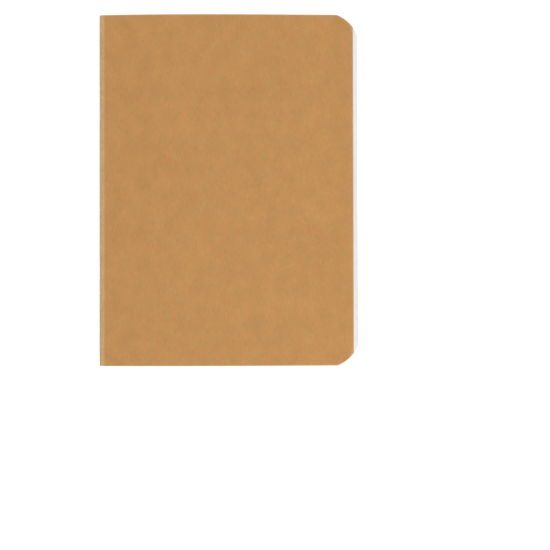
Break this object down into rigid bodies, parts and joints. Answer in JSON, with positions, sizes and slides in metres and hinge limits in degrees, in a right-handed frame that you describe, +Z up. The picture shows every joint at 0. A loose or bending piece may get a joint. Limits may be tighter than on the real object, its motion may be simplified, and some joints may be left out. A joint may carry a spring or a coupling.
{
  "type": "pocket notebook",
  "caption": "Soft-cover pocket notebook with a kraft card cover, saddle-stitched folded sheets and rounded fore-edge corners.",
  "frame": {"origin": "centre of the closed notebook's footprint, on the outside of the back cover", "axes": "+X from the spine to the fore edge, +Y to the head of the page, +Z up through the front cover"},
  "size_m": [0.103, 0.1396, 0.0028],
  "materials": {
    "kraft_card": "matte uncoated",
    "paper": "matte uncoated",
    "staple_wire": "galvanised"
  },
  "bodies": {
    "root": {"back_cover": "kraft_card", "cover_spine": "kraft_card", "staples": "staple_wire", "fold_01": "paper", "fold_02": "paper", "fold_03": "paper", "fold_04": "paper", "fold_05": "paper", "fold_06": "paper", "fold_07": "paper", "fold_08": "paper", "fold_09": "paper", "fold_10": "paper"},
    "leaf_01": {"leaf_01": "paper"},
    "leaf_02": {"leaf_02": "paper"},
    "leaf_03": {"leaf_03": "paper"},
    "leaf_04": {"leaf_04": "paper"},
    "leaf_05": {"leaf_05": "paper"},
    "leaf_06": {"leaf_06": "paper"},
    "leaf_07": {"leaf_07": "paper"},
    "leaf_08": {"leaf_08": "paper"},
    "leaf_09": {"leaf_09": "paper"},
    "leaf_10": {"leaf_10": "paper"},
    "leaf_11": {"leaf_11": "paper"},
    "leaf_12": {"leaf_12": "paper"},
    "leaf_13": {"leaf_13": "paper"},
    "leaf_14": {"leaf_14": "paper"},
    "leaf_15": {"leaf_15": "paper"},
    "leaf_16": {"leaf_16": "paper"},
    "leaf_17": {"leaf_17": "paper"},
    "leaf_18": {"leaf_18": "paper"},
    "leaf_19": {"leaf_19": "paper"},
    "leaf_20": {"leaf_20": "paper"},
    "front_cover": {"front_cover": "kraft_card"}
  },
  "joints": [
    {"name": "block_open", "type": "hinge", "parent": "root", "child": "leaf_01", "pos_m": [-0.05006, 0, 0.0014], "axis": [0, -1, 0], "range_deg": [0, 179]},
    {"name": "leaf_02_turn", "type": "hinge", "parent": "root", "child": "leaf_02", "pos_m": [-0.05006, 0, 0.0014], "axis": [0, -1, 0], "range_deg": [0, 177.93]},
    {"name": "leaf_03_turn", "type": "hinge", "parent": "root", "child": "leaf_03", "pos_m": [-0.05006, 0, 0.0014], "axis": [0, -1, 0], "range_deg": [0, 176.85]},
    {"name": "leaf_04_turn", "type": "hinge", "parent": "root", "child": "leaf_04", "pos_m": [-0.05006, 0, 0.0014], "axis": [0, -1, 0], "range_deg": [0, 175.78]},
    {"name": "leaf_05_turn", "type": "hinge", "parent": "root", "child": "leaf_05", "pos_m": [-0.05006, 0, 0.0014], "axis": [0, -1, 0], "range_deg": [0, 174.7]},
    {"name": "leaf_06_turn", "type": "hinge", "parent": "root", "child": "leaf_06", "pos_m": [-0.05006, 0, 0.0014], "axis": [0, -1, 0], "range_deg": [0, 173.63]},
    {"name": "leaf_07_turn", "type": "hinge", "parent": "root", "child": "leaf_07", "pos_m": [-0.05006, 0, 0.0014], "axis": [0, -1, 0], "range_deg": [0, 172.56]},
    {"name": "leaf_08_turn", "type": "hinge", "parent": "root", "child": "leaf_08", "pos_m": [-0.05006, 0, 0.0014], "axis": [0, -1, 0], "range_deg": [0, 171.48]},
    {"name": "leaf_09_turn", "type": "hinge", "parent": "root", "child": "leaf_09", "pos_m": [-0.05006, 0, 0.0014], "axis": [0, -1, 0], "range_deg": [0, 170.41]},
    {"name": "leaf_10_turn", "type": "hinge", "parent": "root", "child": "leaf_10", "pos_m": [-0.05006, 0, 0.0014], "axis": [0, -1, 0], "range_deg": [0, 169.33]},
    {"name": "leaf_11_turn", "type": "hinge", "parent": "root", "child": "leaf_11", "pos_m": [-0.05006, 0, 0.0014], "axis": [0, -1, 0], "range_deg": [0, 10.74]},
    {"name": "leaf_12_turn", "type": "hinge", "parent": "root", "child": "leaf_12", "pos_m": [-0.05006, 0, 0.0014], "axis": [0, -1, 0], "range_deg": [0, 9.67]},
    {"name": "leaf_13_turn", "type": "hinge", "parent": "root", "child": "leaf_13", "pos_m": [-0.05006, 0, 0.0014], "axis": [0, -1, 0], "range_deg": [0, 8.59]},
    {"name": "leaf_14_turn", "type": "hinge", "parent": "root", "child": "leaf_14", "pos_m": [-0.05006, 0, 0.0014], "axis": [0, -1, 0], "range_deg": [0, 7.52]},
    {"name": "leaf_15_turn", "type": "hinge", "parent": "root", "child": "leaf_15", "pos_m": [-0.05006, 0, 0.0014], "axis": [0, -1, 0], "range_deg": [0, 6.44]},
    {"name": "leaf_16_turn", "type": "hinge", "parent": "root", "child": "leaf_16", "pos_m": [-0.05006, 0, 0.0014], "axis": [0, -1, 0], "range_deg": [0, 5.37]},
    {"name": "leaf_17_turn", "type": "hinge", "parent": "root", "child": "leaf_17", "pos_m": [-0.05006, 0, 0.0014], "axis": [0, -1, 0], "range_deg": [0, 4.3]},
    {"name": "leaf_18_turn", "type": "hinge", "parent": "root", "child": "leaf_18", "pos_m": [-0.05006, 0, 0.0014], "axis": [0, -1, 0], "range_deg": [0, 3.22]},
    {"name": "leaf_19_turn", "type": "hinge", "parent": "root", "child": "leaf_19", "pos_m": [-0.05006, 0, 0.0014], "axis": [0, -1, 0], "range_deg": [0, 2.15]},
    {"name": "leaf_20_turn", "type": "hinge", "parent": "root", "child": "leaf_20", "pos_m": [-0.05006, 0, 0.0014], "axis": [0, -1, 0], "range_deg": [0, 1.07]},
    {"name": "cover_open", "type": "hinge", "parent": "leaf_01", "child": "front_cover", "pos_m": [-0.05006, 0, 0.00285], "axis": [0, -1, 0], "range_deg": [0, 179]}
  ],
  "couplings": [
    {"joint": "leaf_02_turn", "follows": "block_open", "ratio": 0.994},
    {"joint": "leaf_03_turn", "follows": "block_open", "ratio": 0.988},
    {"joint": "leaf_04_turn", "follows": "block_open", "ratio": 0.982},
    {"joint": "leaf_05_turn", "follows": "block_open", "ratio": 0.976},
    {"joint": "leaf_06_turn", "follows": "block_open", "ratio": 0.97},
    {"joint": "leaf_07_turn", "follows": "block_open", "ratio": 0.964},
    {"joint": "leaf_08_turn", "follows": "block_open", "ratio": 0.958},
    {"joint": "leaf_09_turn", "follows": "block_open", "ratio": 0.952},
    {"joint": "leaf_10_turn", "follows": "block_open", "ratio": 0.946},
    {"joint": "leaf_11_turn", "follows": "block_open", "ratio": 0.06},
    {"joint": "leaf_12_turn", "follows": "block_open", "ratio": 0.054},
    {"joint": "leaf_13_turn", "follows": "block_open", "ratio": 0.048},
    {"joint": "leaf_14_turn", "follows": "block_open", "ratio": 0.042},
    {"joint": "leaf_15_turn", "follows": "block_open", "ratio": 0.036},
    {"joint": "leaf_16_turn", "follows": "block_open", "ratio": 0.03},
    {"joint": "leaf_17_turn", "follows": "block_open", "ratio": 0.024},
    {"joint": "leaf_18_turn", "follows": "block_open", "ratio": 0.018},
    {"joint": "leaf_19_turn", "follows": "block_open", "ratio": 0.012},
    {"joint": "leaf_20_turn", "follows": "block_open", "ratio": 0.006}
  ]
}
